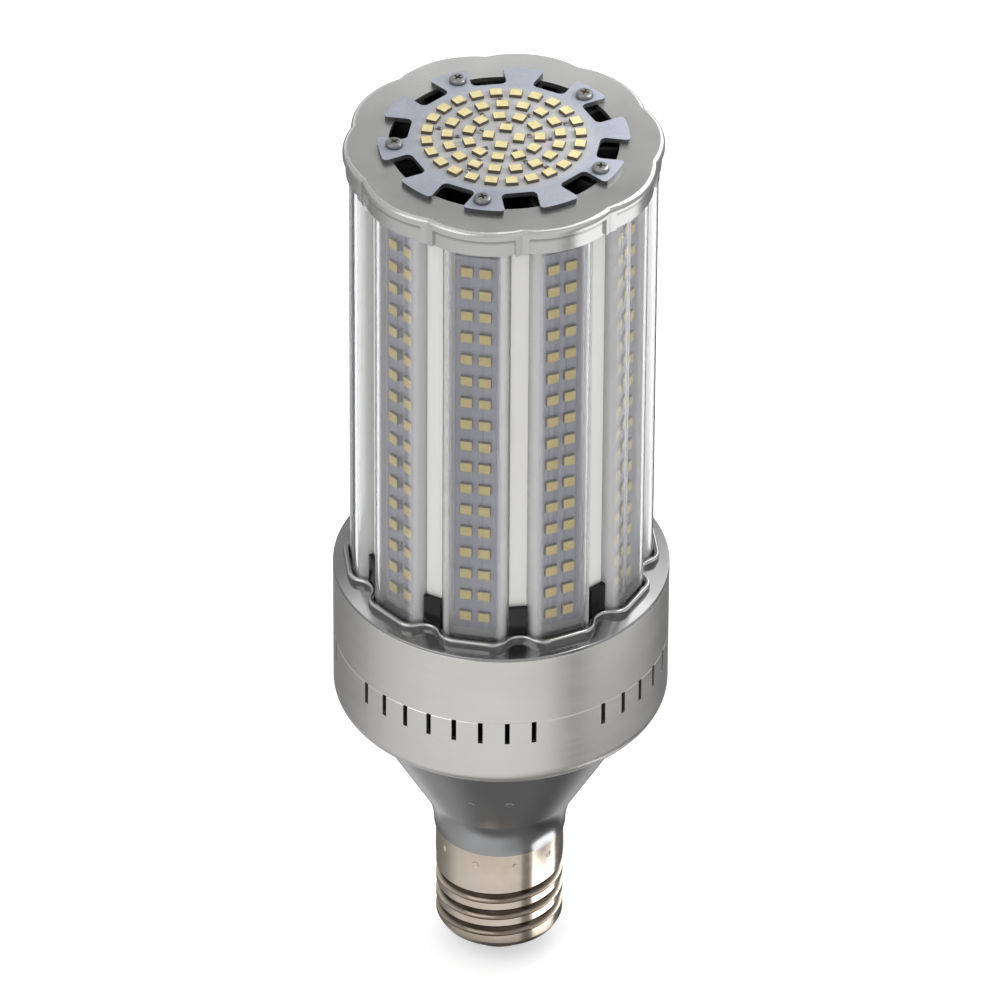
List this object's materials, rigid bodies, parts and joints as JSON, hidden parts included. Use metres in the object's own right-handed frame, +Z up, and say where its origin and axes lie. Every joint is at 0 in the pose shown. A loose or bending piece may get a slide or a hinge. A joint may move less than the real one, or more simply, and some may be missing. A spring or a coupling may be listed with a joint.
{
  "type": "led retrofit bulb",
  "caption": "LED retrofit lamp with a mogul screw cap, flared neck, vented housing, lit strips behind clear channels, a lobed bezel with a lit top board and a cooling fan.",
  "frame": {"origin": "middle of the centre contact's face, the lowest point of the lamp on its axis", "axes": "+Z up along the lamp's axis from the cap to the lit top, -Y straight out of the first strip"},
  "size_m": [0.1018, 0.1018, 0.2996],
  "materials": {
    "shell_nickel": "polished nickel plate with a warm tone",
    "contact_metal": "bright",
    "insulator": "gloss black",
    "neck_gloss": "gloss grey",
    "housing_satin": "satin",
    "collar_dark": "gloss black",
    "sink_white": "matt off-white",
    "strip_board": "matt lavender grey",
    "phosphor": "satin yellow",
    "clear_cover": "clear moulded plastic",
    "bezel_grey": "satin light grey",
    "board_grey": "matt blue grey",
    "fan_plastic": "matt black",
    "rotor_plastic": "matt black",
    "bearing_bronze": "oiled bronze",
    "screw_steel": "bright zinc",
    "winding": "enamelled copper",
    "driver_laminate": "satin green",
    "capacitor_sleeve": "gloss black",
    "film_case": "matt yellow",
    "ferrite": "dark sintered",
    "plain_aluminium": "plain",
    "lead_sleeve": "white sleeve"
  },
  "bodies": {
    "lamp": {"bulk_capacitors": "capacitor_sleeve", "cap_insulator": "insulator", "centre_contact": "contact_metal", "choke": "winding", "collar_screws": "screw_steel", "contact_lead": "lead_sleeve", "driver_board": "driver_laminate", "driver_screws": "screw_steel", "fan_bearing": "bearing_bronze", "fan_frame": "fan_plastic", "fan_screws": "screw_steel", "fan_stator": "winding", "film_capacitor": "film_case", "heat_sink": "sink_white", "housing_band": "housing_satin", "housing_base": "housing_satin", "led_chips_01": "phosphor", "led_chips_02": "phosphor", "led_chips_03": "phosphor", "led_chips_04": "phosphor", "led_chips_05": "phosphor", "led_chips_06": "phosphor", "led_chips_07": "phosphor", "led_chips_08": "phosphor", "led_chips_09": "phosphor", "led_chips_10": "phosphor", "led_strip_01": "strip_board", "led_strip_02": "strip_board", "led_strip_03": "strip_board", "led_strip_04": "strip_board", "led_strip_05": "strip_board", "led_strip_06": "strip_board", "led_strip_07": "strip_board", "led_strip_08": "strip_board", "led_strip_09": "strip_board", "led_strip_10": "strip_board", "lower_collar": "collar_dark", "neck": "neck_gloss", "neck_screws": "screw_steel", "screw_shell": "shell_nickel", "shell_lead": "lead_sleeve", "side_lens_01": "clear_cover", "side_lens_02": "clear_cover", "side_lens_03": "clear_cover", "side_lens_04": "clear_cover", "side_lens_05": "clear_cover", "side_lens_06": "clear_cover", "side_lens_07": "clear_cover", "side_lens_08": "clear_cover", "side_lens_09": "clear_cover", "side_lens_10": "clear_cover", "switch_sink": "plain_aluminium", "top_bezel": "bezel_grey", "top_board": "board_grey", "top_board_screws": "screw_steel", "top_led_chips": "phosphor", "transformer": "ferrite"},
    "fan": {"fan_rotor": "rotor_plastic", "fan_shaft": "screw_steel"}
  },
  "joints": [
    {"name": "fan_spin", "type": "hinge", "parent": "lamp", "child": "fan", "pos_m": [0, 0, 0.1335], "axis": [0, 0, 1], "continuous": true}
  ]
}
